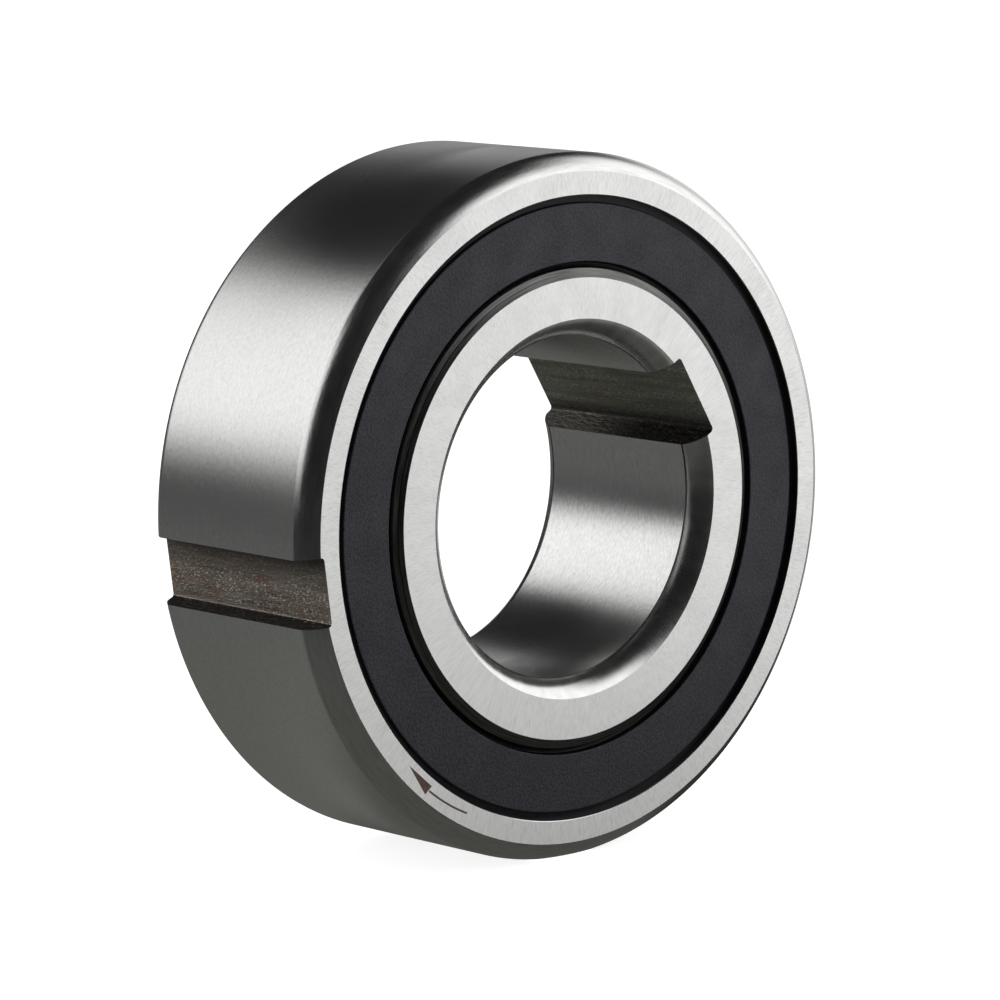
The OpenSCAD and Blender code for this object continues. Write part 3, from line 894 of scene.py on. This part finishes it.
def shell_mesh():
    """A dome that stands a hair above the floor and is closed below by a disc."""
    mesh = bmesh.new()
    low, rows = -RIM_R * MM + SHELL_LIFT, []
    start = math.degrees(math.asin(low / SHELL_R))
    turns = [2 * math.pi * n / SHELL_STEPS for n in range(SHELL_STEPS)]
    for i in range(SHELL_ROWS):
        elevation = math.radians(start + (90 - start) * i / SHELL_ROWS)
        flat, up = SHELL_R * math.cos(elevation), SHELL_R * math.sin(elevation)
        rows.append([mesh.verts.new((flat * math.cos(t), flat * math.sin(t), up)) for t in turns])
    hub, top = mesh.verts.new((0, 0, low)), mesh.verts.new((0, 0, SHELL_R))
    for j in range(SHELL_STEPS):
        k = (j + 1) % SHELL_STEPS
        mesh.faces.new((hub, rows[0][k], rows[0][j]))
        mesh.faces.new((rows[-1][j], rows[-1][k], top))
        for lower, upper in zip(rows, rows[1:]):
            mesh.faces.new((lower[j], lower[k], upper[k], upper[j]))
    return mesh


def studio_shell():
    """The studio as the steel mirrors it: soft panels of light on dark cloth, all round and below.

    Only mirrored rays see it.
    """
    made = new_object("studio_shell", shell_mesh())
    material, tree, out = bare_material("studio_shell")
    glow = tree.nodes.new("ShaderNodeEmission")
    place = tree.nodes.new("ShaderNodeTexCoord")
    unit = node(tree, "ShaderNodeVectorMath", operation="NORMALIZE")
    tree.links.new(place.outputs["Object"], unit.inputs[0])
    x, y, z = split_place(tree, unit.outputs[0])
    level = math_node(tree, "SQRT", math_node(tree, "SUBTRACT", 1.0, times(tree, z, z)))
    height = math_node(tree, "DEGREES", math_node(tree, "ARCSINE", z))
    total = ramp(tree, height, TONE_HEIGHTS, (GROUND_TONE, OVER_TONE))
    for panel in PANELS:
        total = math_node(tree, "ADD", total, toned_panel(tree, (x, y, level, height), *panel))
    tint = colour_mix(tree, ramp(tree, height, TINT_HEIGHTS), FLOOR_TINT, (1, 1, 1))
    tree.links.new(tint, glow.inputs["Color"])
    tree.links.new(total, glow.inputs["Strength"])
    tree.links.new(glow.outputs[0], out.inputs["Surface"])
    made.data.materials.append(material)
    made.visible_camera = False
    made.visible_diffuse = False
    made.visible_shadow = False
    made.visible_transmission = False


def softbox(name, place, size, watts):
    """A lamp that shines at the clutch and isn't mirrored in it."""
    light = bpy.data.lights.new(name, "AREA")
    light.shape = "RECTANGLE"
    light.size, light.size_y = size
    light.energy = watts
    made = bpy.data.objects.new(name, light)
    made.location = place
    made.rotation_mode = "QUATERNION"
    made.rotation_quaternion = (-Vector(place)).to_track_quat("-Z", "Y")
    made.visible_camera = False
    made.visible_glossy = False
    bpy.context.scene.collection.objects.link(made)


def camera():
    """The photograph's viewpoint: three-quarter from the left of the marked face, slightly above."""
    azimuth, elevation = math.radians(CAMERA_AZIMUTH), math.radians(CAMERA_ELEVATION)
    level = math.cos(elevation)
    back = Vector((math.sin(azimuth) * level, -math.cos(azimuth) * level, math.sin(elevation)))
    right = Vector((math.cos(azimuth), math.sin(azimuth), 0))
    up = back.cross(right)
    data = bpy.data.cameras.new("camera")
    data.sensor_width = SENSOR_W
    data.lens = LENS
    data.clip_start, data.clip_end = CLIP
    made = bpy.data.objects.new("camera", data)
    distance, aside, above = CAMERA_DISTANCE * MM, CAMERA_ASIDE * MM, CAMERA_ABOVE * MM
    made.location = back * distance + right * aside + up * above
    made.rotation_mode = "QUATERNION"
    made.rotation_quaternion = (-back).to_track_quat("-Z", "Y")
    bpy.context.scene.collection.objects.link(made)
    bpy.context.scene.camera = made


camera()
bpy.context.scene.view_settings.view_transform = "Standard"
FINISHES = {
    "face": ground_face_steel(),
    "rim": ground_round_steel("ground_rim_steel", (0.61, 0.61, 0.60), (0.69, 0.69, 0.68), 85, 4200),
    "bore": ground_round_steel("ground_bore_steel", (0.60, 0.60, 0.59), (0.76, 0.76, 0.75), 32, 5000),
    "corner": turned_corner_steel(),
    "track": hardened_track_steel(),
    "step": step_painted_shade_steel(),
    "keyway": milled_keyway_steel(
        "milled_rim_keyway", RIM_SLOT_TONES, (0.85, 0.78, 0.64), RIM_SLOT_LIT),
    "bore_keyway": milled_keyway_steel(
        "milled_bore_keyway", BORE_SLOT_TONES, (0.5, 0.47, 0.4), BORE_SLOT_LIT),
    "keyway_wall": keyway_wall_steel(
        "torn_rim_keyway", (0.007, 0.0065, 0.006), (0.03, 0.027, 0.024), (0.26, 0.24, 0.21)),
    # The bore keyway's wall lightens towards the back of the slot as painted light.
    "bore_keyway_wall": keyway_wall_steel(
        "torn_bore_keyway", (0.012, 0.011, 0.01), (0.06, 0.056, 0.05), (0.4, 0.38, 0.34),
        rear=(0.16, 0.15, 0.135)),
    "mark": etched_mark(),
}
outer_ring(FINISHES)
inner_ring(FINISHES)
RUBBER, GLOSS_AND_SHADE = seal_rubber(), seal_gloss_and_painted_shade()
seal("front_seal", 1, RUBBER, GLOSS_AND_SHADE)
seal("rear_seal", -1, RUBBER, GLOSS_AND_SHADE)
garter_spring(plain_metal("drawn_spring_wire", (0.40, 0.38, 0.35), (0.55, 0.53, 0.50), 0.25, 5000, 5))
dress_inner_parts()
studio_floor()
studio_world()
studio_shell()
for box in SOFTBOXES:
    softbox(*box)
